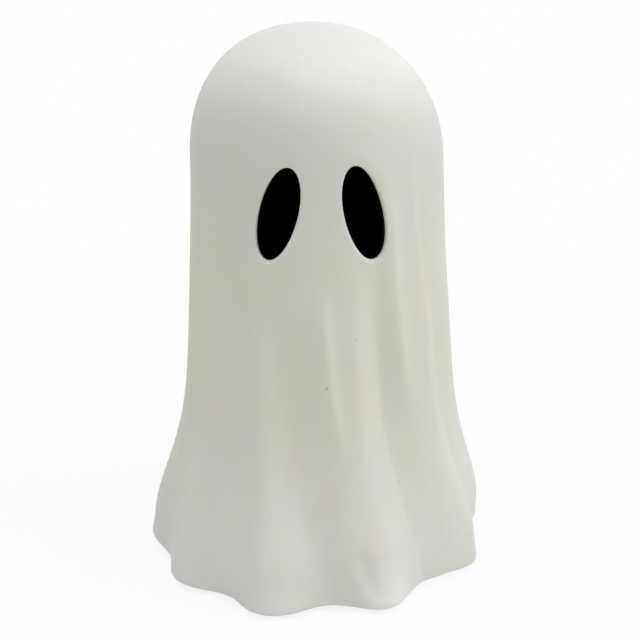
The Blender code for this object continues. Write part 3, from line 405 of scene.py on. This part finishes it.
def add_skin(face, step, coat, outward):
    """One face of the wall with its eye holes. Returns its foot ring and the rings at the eyes."""
    rows = np.arange(0, len(heights), step)
    columns = np.arange(0, COLUMNS, step)
    grid = {}
    for row in rows:
        numbers = add_points(face(azimuths[row, columns], np.full(len(columns), heights[row])))
        for column, number in zip(columns, numbers):
            grid[int(row), int(column)] = number

    def put(*corners):
        shell_faces.append(corners if outward else corners[::-1])
        face_coats.append(coat)

    def close_in(ring, inward):
        for index, number in enumerate(ring):
            following = (index + 1) % len(ring)
            put(number, ring[following], inward[following], inward[index])

    for row, above in zip(rows, rows[1:]):
        for column in columns:
            beside = (column + step) % COLUMNS
            if any(l <= column < r and low <= row < high for l, r, low, high in eye_blocks.values()):
                continue
            put(grid[row, column], grid[row, beside], grid[above, beside], grid[above, column])
    pole = add_points(face(np.array([0.0]), np.array([TALL])))[0]
    for column in columns:
        put(grid[rows[-1], column], grid[rows[-1], (column + step) % COLUMNS], pole)

    eye_rings = {}
    for side, (azimuth, lean, middle) in EYES.items():
        left, right, low, high = eye_blocks[side]
        edge = [(low, column) for column in range(left, right, step)]
        edge += [(row, right) for row in range(low, high, step)]
        edge += [(high, column) for column in range(right, left, -step)]
        edge += [(row, left) for row in range(high, low, -step)]
        edge_azimuth = np.array([azimuths[row, column] for row, column in edge])
        edge_height = np.array([heights[row] for row, _ in edge])
        half_azimuth = (edge_azimuth.max() - edge_azimuth.min()) / 2
        half_height = (edge_height.max() - edge_height.min()) / 2
        angles = np.arctan2((edge_height - middle) / half_height, (edge_azimuth - azimuth) / half_azimuth)
        angles = angles + math.radians(lean)
        grow = RIM_RADIUS if outward else 0
        rim_azimuth, rim_height = oval_on(face, azimuth, lean, middle, angles, grow)
        ring = [grid[place] for place in edge]
        for spread in range(1, SPREAD_RINGS + 1):
            share = spread / SPREAD_RINGS
            between = edge_azimuth + (rim_azimuth - edge_azimuth) * share
            level = edge_height + (rim_height - edge_height) * share
            inward = add_points(face(between, level))
            close_in(ring, inward)
            ring = inward
        if outward:
            facing = -np.array([math.sin(math.radians(azimuth)), -math.cos(math.radians(azimuth)), 0])
            for rim in range(1, RIM_RINGS + 1):
                turn = math.pi / 2 * rim / RIM_RINGS
                place = oval_on(face, azimuth, lean, middle, angles, RIM_RADIUS * (1 - math.sin(turn)))
                inward = add_points(face(*place) + facing * RIM_RADIUS * (1 - math.cos(turn)))
                close_in(ring, inward)
                ring = inward
            inward = add_points(face(*place) + facing * BARE_DEPTH)
            zip_rings(ring, inward)
            ring = inward
        eye_rings[side] = ring
    foot = [grid[0, int(column)] for column in columns]
    return foot, eye_rings


outer_foot, outer_eyes = add_skin(outer_face, 1, WHITE, True)
inner_foot, inner_eyes = add_skin(inner_face, FINE, BLACK_SHADE, False)
for side in EYES:
    zip_rings(outer_eyes[side], inner_eyes[side], BLACK_SHADE)

# The hem's rounded lip, then the flat floor with the rebate and the opening that take the lamp base.
LIP_ROWS = 5
REBATE_RADIUS = 0.0620
REBATE_TOP = HEM + 0.0036
OPENING_RADIUS = 0.0500
ring = outer_foot
for row in range(1, LIP_ROWS + 1):
    turn = math.pi / 2 * row / LIP_ROWS
    level = lip_top - LIP_RADIUS * math.sin(turn)
    lip_radius = sheet_radius(azimuths[0], lip_top) - LIP_RADIUS * (1 - math.cos(turn))
    lower = add_points(face_point(azimuths[0], np.full(COLUMNS, level), lip_radius))
    zip_rings(lower, ring)
    ring = lower
for radius, level in (
    (REBATE_RADIUS, HEM),
    (REBATE_RADIUS, REBATE_TOP),
    (OPENING_RADIUS, REBATE_TOP),
    (OPENING_RADIUS, FLOOR_TOP),
):
    turn = np.radians(azimuths[0, ::FINE])
    circle = np.stack([radius * np.sin(turn), -radius * np.cos(turn), np.full(len(turn), level)], -1)
    lower = add_points(circle)
    zip_rings(lower, ring)
    ring = lower
zip_rings(inner_foot, ring, BLACK_SHADE)

SHARP_ANGLE = math.radians(50)
shell_mesh = bpy.data.meshes.new("sheet")
shell_mesh.from_pydata(shell_verts, [], shell_faces)
shell_mesh.polygons.foreach_set("material_index", face_coats)
shell_mesh.shade_smooth()
shell_mesh.set_sharp_from_angle(angle=SHARP_ANGLE)
shell_mesh.validate()
shell = bpy.data.objects.new("sheet", shell_mesh)
bpy.context.scene.collection.objects.link(shell)
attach(shell, "statue")
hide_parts("ghost_shell")


class Wire:
    """A socket in a node tree. Python's operators on it add Math nodes."""

    def __init__(self, tree, socket=None):
        self.tree = tree
        self.socket = socket

    def node(self, kind, settings=None, output=0, feeds=None):
        """Any other node: its type, its settings, the output to go on from, and its values and links."""
        made = self.tree.nodes.new(kind)
        for name, value in (settings or {}).items():
            setattr(made, name, value)
        for name, value in (feeds or {}).items():
            if isinstance(value, Wire):
                self.tree.links.new(value.socket, made.inputs[name])
            else:
                made.inputs[name].default_value = value
        return Wire(self.tree, None if output is None else made.outputs[output])

    def maths(self, operation, first, second):
        return self.node("ShaderNodeMath", {"operation": operation}, feeds={0: first, 1: second})

    def __add__(self, other):
        return self.maths("ADD", self, other)

    __radd__ = __add__

    def __sub__(self, other):
        return self.maths("SUBTRACT", self, other)

    def __rsub__(self, other):
        return self.maths("SUBTRACT", other, self)

    def __mul__(self, other):
        return self.maths("MULTIPLY", self, other)

    __rmul__ = __mul__

    def __truediv__(self, other):
        return self.maths("DIVIDE", self, other)

    def __rtruediv__(self, other):
        return self.maths("DIVIDE", other, self)

    def root(self):
        return self.maths("SQRT", self, 0.0)

    def between(self, low, high):
        """0 up to low, 1 from high on, and a smooth ramp between them."""
        feeds = {"Value": self, "From Min": low, "From Max": high}
        return self.node("ShaderNodeMapRange", {"interpolation_type": "SMOOTHSTEP"}, feeds=feeds)

    def mixed(self, first, second):
        """Two colours mixed by this value."""
        return self.node("ShaderNodeMix", {"data_type": "RGBA"}, 2, {0: self, 6: first, 7: second})

    def place(self):
        """Where a point lies on the piece itself, in metres."""
        return self.node("ShaderNodeTexCoord", output="Object")

    def axis(self, name):
        return self.node("ShaderNodeSeparateXYZ", output=name, feeds={0: self.place()})

    def away_from(self, point):
        """The distance from a point, in metres."""
        feeds = {0: self.place(), 1: tuple(map(float, point))}
        return self.node("ShaderNodeVectorMath", {"operation": "DISTANCE"}, "Value", feeds)

    def noise(self, size, detail=3.0, roughness=0.5, stretch=(1, 1, 1)):
        """Cloudy noise from 0 to 1 with features of a size in metres."""
        place = self.node("ShaderNodeMapping", feeds={"Vector": self.place(), "Scale": stretch})
        feeds = {"Vector": place, "Scale": 1 / size, "Detail": detail, "Roughness": roughness}
        return self.node("ShaderNodeTexNoise", feeds=feeds)

    def clear_view(self):
        """1 for what the camera sees, itself or mirrored in metal or through glass."""
        kinds = ("Is Camera Ray", "Is Glossy Ray", "Is Transmission Ray")
        return sum(self.node("ShaderNodeLightPath", output=kind) for kind in kinds)

    def dents(self, height, depth, strength=1.0):
        """A normal bent by a height from 0 to 1, worth a depth in metres."""
        feeds = {"Strength": strength, "Distance": depth, "Height": height}
        return self.node("ShaderNodeBump", feeds=feeds)


def finish(name, roughness=0.5, shine=0.5, metallic=0.0):
    """A new material: returns it, its Principled shader and a wire to build its values with."""
    made = bpy.data.materials.new(name)
    made.use_nodes = True
    shader = made.node_tree.nodes["Principled BSDF"]
    shader.inputs["Roughness"].default_value = roughness
    shader.inputs["Specular IOR Level"].default_value = shine
    shader.inputs["Metallic"].default_value = metallic
    return made, shader, Wire(made.node_tree)


def feed(shader, **values):
    """Links wires to a shader's own sockets, which are named in small letters."""
    for socket, value in values.items():
        shader.id_data.links.new(value.socket, shader.inputs[socket.replace("_", " ").title()])


def srgb(red, green, blue):
    """A colour as it looks on screen, from 0 to 255, as the shader's linear values."""
    channels = (channel / 255 for channel in (red, green, blue))
    return (*(c / 12.92 if c <= 0.04045 else ((c + 0.055) / 1.055) ** 2.4 for c in channels), 1)


# The white is warmest on the body. The forehead is a lighter neutral white, a painted highlight of the
# light from above, and the crown a shade darker, painted shade; the hem is paler, painted light bounced up
# from the table.
# Each band gives the height where it starts and the height where it is full.
BODY_BAND = (0.235, 0.150)
FOREHEAD_LIGHT_BAND = (0.236, 0.262)
CROWN_SHADE_BAND = (0.264, 0.279)
HEM_BOUNCE_BAND = (0.120, 0.015)
cast_white, shader, wire = finish("cast_white", 0.62, 0.3)
height_up = wire.axis("Z")
tint = height_up.between(*BODY_BAND).mixed(srgb(229, 230, 225), srgb(231, 232, 216))
tint = height_up.between(*FOREHEAD_LIGHT_BAND).mixed(tint, srgb(235, 236, 233))
tint = height_up.between(*CROWN_SHADE_BAND).mixed(tint, srgb(224, 225, 222))
tint = height_up.between(*HEM_BOUNCE_BAND).mixed(tint, srgb(234, 234, 230))

# Faint blotches of the cast, streaks that run down the body, haze and fine flecks. Streaks and haze end
# below the crown.
BLOTCH_SHARE = 0.5
STREAK_SHARE = 0.45
HAZE_SHARE = 0.6
FLECK_SHARE = 0.4
STREAK_STRETCH = (1, 1, 0.25)
HAZE_STRETCH = (1, 1, 0.4)
below_crown = 1 - height_up.between(0.190, 0.235)
blotch = wire.noise(0.030, 2.0, 0.5).between(0.35, 0.70)
tint = (blotch * BLOTCH_SHARE).mixed(tint, srgb(226, 230, 216))
streak = wire.noise(0.016, 2.0, 0.5, STREAK_STRETCH).between(0.44, 0.68)
tint = (streak * below_crown * STREAK_SHARE).mixed(tint, srgb(231, 225, 213))
haze = wire.noise(0.0175, 2.0, 0.5, HAZE_STRETCH).between(0.46, 0.66)
tint = (haze * below_crown * HAZE_SHARE).mixed(tint, srgb(229, 230, 226))
fleck = wire.noise(0.006, 3.0, 0.6).between(0.50, 0.80)
tint = (fleck * FLECK_SHARE).mixed(tint, srgb(226, 226, 223))

# The lobe that stands out most at the front gets a painted highlight low down at the hem, paler than the
# rest.
LOBE_AZIMUTH = 24.0
LOBE_HEIGHT = 0.008
LOBE_REACH = (0.005, 0.024)
LOBE_HIGHLIGHT_SHARE = 0.7
lobe = outer_face(np.array(LOBE_AZIMUTH), np.array(LOBE_HEIGHT))
lobe_highlight = 1 - wire.away_from(lobe).between(*LOBE_REACH)
tint = (lobe_highlight * LOBE_HIGHLIGHT_SHARE).mixed(tint, srgb(247, 247, 244))

# The rims of the eyes get a painted highlight below and on their inner sides, where the rounded rim turns
# up to the light, and a little warm painted shade on their outer sides and above, where it turns away.
# Both fade with the distance from the rim; across the eye and along it, 0 is its middle and 1 its outer
# side or its top.
RIM_HIGHLIGHT_REACH = (0.0012, 0.0024)
RIM_HIGHLIGHT_ACROSS = (0.1, 0.8)
RIM_HIGHLIGHT_ALONG = (-0.75, 0.3)
RIM_HIGHLIGHT_SHARE = 0.7
RIM_SHADE_REACH = (0.0010, 0.0080)
RIM_SHADE_ACROSS = (-0.7, 0.2)
RIM_SHADE_ALONG = (-0.5, 0.6)
RIM_SHADE_SHARE = 0.45
FRONT_REACH = (-0.030, -0.010)
rim_highlight = 0.0
rim_shade = 0.0
front = 1 - wire.axis("Y").between(*FRONT_REACH)
for azimuth, lean, middle in EYES.values():
    turn = math.radians(lean)
    centre = outer_face(np.array(azimuth), np.array(middle))
    across = (wire.axis("X") - float(centre[0])) * (1 / math.cos(math.radians(azimuth)))
    up = height_up - middle
    beside = across * math.cos(turn) - up * math.sin(turn)
    along = across * math.sin(turn) + up * math.cos(turn)
    reach = (beside * beside + along * along).root()
    outer = beside * math.copysign(2 / EYE_WIDTH, azimuth)
    along = along * (2 / EYE_TALL)
    from_rim = reach - reach / (outer * outer + along * along).root()
    inner_and_low = (1 - outer.between(*RIM_HIGHLIGHT_ACROSS)) * (1 - along.between(*RIM_HIGHLIGHT_ALONG))
    outer_and_high = outer.between(*RIM_SHADE_ACROSS) * along.between(*RIM_SHADE_ALONG)
    rim_highlight = rim_highlight + (1 - from_rim.between(*RIM_HIGHLIGHT_REACH)) * front * inner_and_low
    rim_shade = rim_shade + (1 - from_rim.between(*RIM_SHADE_REACH)) * front * outer_and_high
tint = (rim_shade * RIM_SHADE_SHARE).mixed(tint, srgb(229, 222, 202))
tint = (rim_highlight * RIM_HIGHLIGHT_SHARE).mixed(tint, srgb(243, 242, 242))

# Pin holes where air bubbles broke in the cast: azimuth, height, radius and how dark.
PIN_HOLES = (
    (2.9, 0.1150, 0.00060, 0.46),
    (3.6, 0.1143, 0.00040, 0.20),
    (15.5, 0.1380, 0.00060, 0.20),
    (35.3, 0.0590, 0.00045, 0.22),
    (10.5, 0.0490, 0.00045, 0.18),
    (-36.2, 0.0930, 0.00080, 0.10),
    (118.0, 0.1420, 0.00050, 0.40),
    (171.0, 0.0880, 0.00050, 0.30),
    (-128.0, 0.1730, 0.00045, 0.25),
    (203.0, 0.2050, 0.00045, 0.25),
)
PIT_FLOOR = 0.4
PIT_EDGE = 1.6
PIT_DEPTH = 1.5
pits = 0.0
for azimuth, height, radius, darkness in PIN_HOLES:
    away = wire.away_from(outer_face(np.array(azimuth), np.array(height)))
    pits = pits + (1 - away.between(radius * PIT_FLOOR, radius * PIT_EDGE)) * darkness
tint = pits.mixed(tint, srgb(132, 118, 80))

GRAIN_DEPTH = 0.00022
grain = wire.noise(0.0009, 3.0, 0.6) * 0.35 + wire.noise(0.0060, 2.0, 0.5) * 0.65
feed(shader, base_color=tint, roughness=wire.noise(0.010) * 0.16 + 0.54)
feed(shader, normal=wire.dents(grain - pits * PIT_DEPTH, GRAIN_DEPTH, 0.8))
shell_mesh.materials.append(cast_white)

# The black coat inside the wall and on the eye walls is painted shade: it makes the hollow read dark
# through the eyes.
black_coat_and_shade, shader, wire = finish("black_coat_and_shade", 0.85, 0.1)
feed(shader, base_color=wire.noise(0.004).mixed(srgb(9, 9, 9), srgb(15, 15, 14)))
shell_mesh.materials.append(black_coat_and_shade)


# The feet
# Four discs die-cut from soft rubber sheet and stuck under the casting's flat floor, near the hem, so that
# it neither slides nor scratches the shelf.


def dress(material, *names):
    """Gives CAD pieces their finish."""
    for name in names:
        for slot in nodes[name].material_slots:
            slot.material = material


rubber, shader, wire = finish("pad_rubber", 0.8, 0.2)
feed(shader, base_color=wire.noise(0.0025).mixed(srgb(84, 84, 83), srgb(94, 94, 92)))
feed(shader, normal=wire.dents(wire.noise(0.0006, 4.0), 0.00012))
dress(rubber, *(f"foot_pad_{number}" for number in range(1, 5)))

# The lamp base
# A round plate moulded in warm grey plastic with a fine spark-eroded texture. It closes the bottom and
# carries the battery bay, the switch recess and the collar of the post.


def moulded(name, dark, light, roughness=0.5, grain_depth=0.00006):
    """Moulded plastic: its colour flows faintly, and its skin has the mould's fine grain."""
    made, shader, wire = finish(name, roughness, 0.4)
    flow = wire.noise(0.014, 2.0).between(0.3, 0.7)
    feed(shader, base_color=flow.mixed(dark, light))
    feed(shader, roughness=wire.noise(0.004) * 0.14 + (roughness - 0.07))
    feed(shader, normal=wire.dents(wire.noise(0.0004, 2.0), grain_depth))
    return made


dress(moulded("base_plastic", srgb(192, 190, 184), srgb(198, 196, 190)), "lamp_base")

# The battery door
# A lid moulded in the same plastic, a shade lighter. It turns on two pins along its long side and is
# opened at a finger tab; its corners are rubbed smooth by fingers.

door_plastic, shader, wire = finish("door_plastic", 0.5, 0.4)
door_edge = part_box("battery_door")[0].y
WORN_REACH = 0.008
worn = (0 - wire.axis("Y")).between(-door_edge - WORN_REACH, -door_edge)
flow = wire.noise(0.014, 2.0).between(0.3, 0.7)
feed(shader, base_color=flow.mixed(srgb(194, 192, 186), srgb(200, 198, 192)))
feed(shader, roughness=wire.noise(0.004) * 0.14 + 0.46 - worn * 0.12)
feed(shader, normal=wire.dents(wire.noise(0.0004, 2.0) * (1 - worn * 0.6), 0.00006))
dress(door_plastic, "battery_door")

# The cells
# Three AAA cells in dark printed jackets: a steel can with a film shrunk round it, a pale band at one end
# and bare metal at both ends.

CAN_EDGE = (0.0012, 0.0013)
BAND_EDGE = (0.0070, 0.0072)
for number in range(1, 4):
    cell_low, cell_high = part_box(f"battery_{number}")
    jacket, shader, wire = finish(f"cell_jacket_{number}", 0.35, 0.5)
    along = wire.axis("X")
    from_low = along - cell_low.x
    from_high = cell_high.x - along
    bare = (1 - from_low.between(*CAN_EDGE)) + (1 - from_high.between(*CAN_EDGE))
    band = 1 - from_high.between(*BAND_EDGE)
    film = wire.noise(0.008).mixed(srgb(52, 55, 60), srgb(60, 63, 68))
    film = band.mixed(film, srgb(168, 160, 142))
    feed(shader, base_color=bare.mixed(film, srgb(190, 190, 188)), metallic=bare)
    feed(shader, roughness=wire.noise(0.003) * 0.12 + 0.28)
    feed(shader, normal=wire.dents(wire.noise(0.002, 2.0, 0.5, (0.2, 1, 1)), 0.00004))
    dress(jacket, f"battery_{number}")

# The springs and the contact plates
# Nickel-plated spring wire coiled to a cone at each negative end, and stamped plates at the positive ones.


def plated(name, dark, light, roughness=0.3, stretch=(1, 1, 0.1)):
    """Plated steel with fine drawing lines and a little tarnish."""
    made, shader, wire = finish(name, roughness, 0.5, 1.0)
    tarnish = wire.noise(0.003, 4.0).between(0.35, 0.75)
    feed(shader, base_color=tarnish.mixed(light, dark))
    feed(shader, roughness=tarnish * 0.15 + (roughness - 0.05))
    feed(shader, normal=wire.dents(wire.noise(0.0003, 2.0, 0.5, stretch), 0.00003))
    return made


bright_steel = plated("bright_steel", srgb(182, 180, 174), srgb(205, 205, 203), 0.28)
dress(bright_steel, *(f"battery_spring_{number}" for number in range(1, 4)))
dress(bright_steel, *(f"contact_plate_{number}" for number in range(1, 4)))

# The switch
# A black slide switch clipped under the plate, with its knob in a finger recess; the knob is a harder,
# shinier plastic than the body.

dress(moulded("switch_black", srgb(46, 46, 46), srgb(52, 52, 52), 0.45), "switch_body")
dress(moulded("knob_black", srgb(60, 60, 59), srgb(66, 66, 65), 0.35, 0.00003), "switch_slider")

# The post, the board and the lights
# A hollow moulded post carries a small round board with three 5 mm lights in clear resin, each with a
# yellow phosphor cup; the board's white lacquer lets its copper show faintly.

dress(moulded("post_plastic", srgb(216, 216, 213), srgb(221, 221, 218), 0.4), "lamp_post")

board_white, shader, wire = finish("board_white", 0.35, 0.5)
lacquer = wire.noise(0.003).mixed(srgb(224, 226, 221), srgb(229, 230, 226))
layout = {"Vector": wire.place(), "Scale": 160.0, "Mortar Size": 0.03}
tracks = wire.node("ShaderNodeTexBrick", output="Fac", feeds=layout)
feed(shader, base_color=(tracks * 0.3).mixed(lacquer, srgb(206, 196, 168)))
feed(shader, roughness=wire.noise(0.002) * 0.1 + 0.3)
feed(shader, normal=wire.dents(tracks, 0.00003))
dress(board_white, "led_board")

CUP_FULL = 0.0015
CUP_TOP = 0.0035
for number in range(1, 4):
    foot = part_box(f"led_{number}")[0].z
    light_clear, shader, wire = finish(f"light_clear_{number}", 0.08, 0.5)
    shader.inputs["Coat Weight"].default_value = 0.5
    cup = 1 - wire.axis("Z").between(foot + CUP_FULL, foot + CUP_TOP)
    resin = wire.noise(0.002).mixed(srgb(243, 238, 214), srgb(246, 242, 222))
    feed(shader, base_color=cup.mixed(resin, srgb(240, 214, 110)))
    feed(shader, normal=wire.dents(wire.noise(0.0015, 1.0), 0.00002))
    dress(light_clear, f"led_{number}")

# The diffuser
# A thin frosted cap pushed over the post; its blasted skin spreads the light of the three lamps.

diffuser_frost, shader, wire = finish("diffuser_frost", 0.55, 0.4)
shader.inputs["Transmission Weight"].default_value = 0.25
feed(shader, base_color=wire.noise(0.006, 2.0).mixed(srgb(240, 240, 237), srgb(245, 245, 242)))
feed(shader, roughness=wire.noise(0.002) * 0.12 + 0.5)
feed(shader, normal=wire.dents(wire.noise(0.00035, 3.0), 0.00005))
dress(diffuser_frost, "diffuser")

# The screws
# Small zinc-plated pan-head screws with a cross recess: three hold the base and two the board.

screw_steel = plated("screw_steel", srgb(150, 150, 150), srgb(184, 184, 186), 0.34, (1, 1, 1))
dress(screw_steel, *(f"base_screw_{number}" for number in range(1, 4)))
dress(screw_steel, "board_screw_1", "board_screw_2")

# The leads
# Thin stranded leads in soft vinyl, red from the cells to the switch and on to the board, and black back.


def vinyl(name, dark, light):
    made, shader, wire = finish(name, 0.42, 0.5)
    feed(shader, base_color=wire.noise(0.003).mixed(dark, light))
    feed(shader, roughness=wire.noise(0.001) * 0.1 + 0.38)
    feed(shader, normal=wire.dents(wire.noise(0.0008), 0.00003))
    return made


dress(vinyl("lead_red", srgb(176, 34, 30), srgb(190, 42, 36)), "lead_battery_switch", "lead_switch_board")
dress(vinyl("lead_black", srgb(44, 44, 44), srgb(54, 54, 53)), "lead_battery_board")

# The table, the light and the camera
# A white table top that goes over into a white backdrop, and plain soft daylight: an even sky, a wide soft
# lamp at the right and one overhead.

TABLE_RADIUS = 3.0
TABLE_SIDES = 64
table_mesh = bpy.data.meshes.new("table_top")
rim_turns = [2 * math.pi * side / TABLE_SIDES for side in range(TABLE_SIDES)]
rim = [(TABLE_RADIUS * math.cos(turn), TABLE_RADIUS * math.sin(turn), 0) for turn in rim_turns]
table_mesh.from_pydata(rim, [], [tuple(range(TABLE_SIDES))])
table_top = bpy.data.objects.new("table_top", table_mesh)
bpy.context.scene.collection.objects.link(table_top)

TABLE_WHITE = (0.93, 0.93, 0.92, 1)
WHITE_GLOW = 0.85
FADE_START = 0.16
FADE_END = 0.60
FULL_WHITE = (1, 1, 1, 1)
table_white = bpy.data.materials.new("table_white")
table_white.use_nodes = True
table_white.node_tree.nodes.clear()
wire = Wire(table_white.node_tree)
matt = wire.node("ShaderNodeBsdfDiffuse", feeds={"Color": TABLE_WHITE})
white = wire.node("ShaderNodeEmission", feeds={"Color": FULL_WHITE, "Strength": 1.0})
far = wire.away_from((0, 0, 0)).between(FADE_START, FADE_END)
whiten = wire.clear_view() * (WHITE_GLOW + far * (1 - WHITE_GLOW))
top = wire.node("ShaderNodeMixShader", feeds={0: whiten, 1: matt, 2: white})
clear = wire.node("ShaderNodeBsdfTransparent")
from_below = wire.node("ShaderNodeNewGeometry", output="Backfacing")
surface = wire.node("ShaderNodeMixShader", feeds={0: from_below, 1: top, 2: clear})
wire.node("ShaderNodeOutputMaterial", output=None, feeds={"Surface": surface})
table_mesh.materials.append(table_white)

SKY_LEVEL = 0.424
daylight = bpy.data.worlds.new("daylight")
bpy.context.scene.world = daylight
daylight.use_nodes = True
daylight.node_tree.nodes.clear()
wire = Wire(daylight.node_tree)
sky = wire.node("ShaderNodeBackground", feeds={"Color": FULL_WHITE, "Strength": SKY_LEVEL})
backdrop = wire.node("ShaderNodeBackground", feeds={"Color": FULL_WHITE, "Strength": 1.0})
seen = wire.node("ShaderNodeMixShader", feeds={0: wire.clear_view(), 1: sky, 2: backdrop})
wire.node("ShaderNodeOutputWorld", output=None, feeds={"Surface": seen})


LAMP_DISTANCE = 1.5
LAMP_SIZE = 1.2


def soft_lamp(name, azimuth, elevation, power):
    """A wide round lamp that faces the middle of the sheet."""
    turn, rise = math.radians(azimuth), math.radians(elevation)
    lamp = bpy.data.lights.new(name, "AREA")
    lamp.shape = "DISK"
    lamp.size = LAMP_SIZE
    lamp.energy = power
    made = bpy.data.objects.new(name, lamp)
    away = Vector((math.sin(turn) * math.cos(rise), -math.cos(turn) * math.cos(rise), math.sin(rise)))
    made.location = Vector((0, 0, TALL / 2)) + LAMP_DISTANCE * away
    made.rotation_euler = away.to_track_quat("Z", "Y").to_euler()
    bpy.context.scene.collection.objects.link(made)


soft_lamp("lamp_right", 77, 36, 5.5)
soft_lamp("lamp_above", 0, 90, 11.4)

CAMERA_RISE = math.radians(20)
CAMERA_DISTANCE = 0.784
CAMERA_TARGET = 0.125
CAMERA_LENS = 83.8
CAMERA_SHIFT = 2 / 640
camera_data = bpy.data.cameras.new("camera")
camera_data.sensor_width = 36
camera_data.lens = CAMERA_LENS
camera_data.shift_x = CAMERA_SHIFT
camera_data.clip_start = 0.01
camera = bpy.data.objects.new("camera", camera_data)
camera_height = CAMERA_TARGET + CAMERA_DISTANCE * math.sin(CAMERA_RISE)
camera.location = (0, -CAMERA_DISTANCE * math.cos(CAMERA_RISE), camera_height)
camera.rotation_euler = (math.pi / 2 - CAMERA_RISE, 0, 0)
bpy.context.scene.collection.objects.link(camera)
bpy.context.scene.camera = camera
bpy.context.scene.view_settings.view_transform = "Standard"
